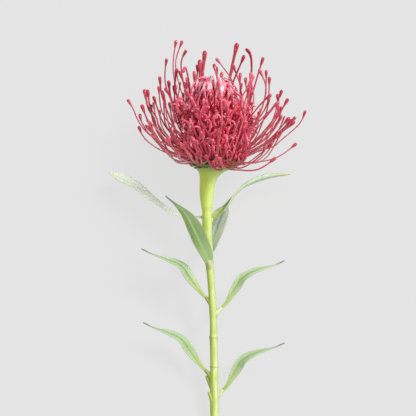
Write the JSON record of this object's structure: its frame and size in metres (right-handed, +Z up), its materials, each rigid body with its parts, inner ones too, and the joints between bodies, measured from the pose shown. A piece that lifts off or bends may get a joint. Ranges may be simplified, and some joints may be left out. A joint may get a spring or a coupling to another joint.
{
  "type": "pincushion protea flower",
  "caption": "Cut pincushion protea stem with a round crimson head of knobbed styles, a bract collar and slender paired leaves, for vases, bouquets and table decoration.",
  "frame": {"origin": "point on the surface under the middle of the lying flower", "axes": "+Y from the cut end of the stem towards the flower head, +Z up from the surface, +X to the flower's right as the picture shows it"},
  "size_m": [0.1345, 0.2793, 0.0876],
  "materials": {
    "stem_green": "satin yellow-green, faintly streaked along the stem",
    "bract_olive": "dull olive green with brown bract tips",
    "style_crimson": "satin crimson with pink sheen and darker roots",
    "leaf_near": "matte grey-green with a yellow-green midrib and margins",
    "leaf_far": "matte pale sage with yellowish margins"
  },
  "bodies": {
    "root": {"stem": "stem_green", "bract_collar": "bract_olive", "flower_head": "style_crimson", "leaf_front_left": "leaf_near", "leaf_left_mid": "leaf_near", "leaf_right_mid": "leaf_near", "leaf_left_low": "leaf_near", "leaf_right_low": "leaf_near", "leaf_back_left": "leaf_far", "leaf_back_right_upper": "leaf_far", "leaf_back_right_lower": "leaf_far"}
  },
  "joints": []
}
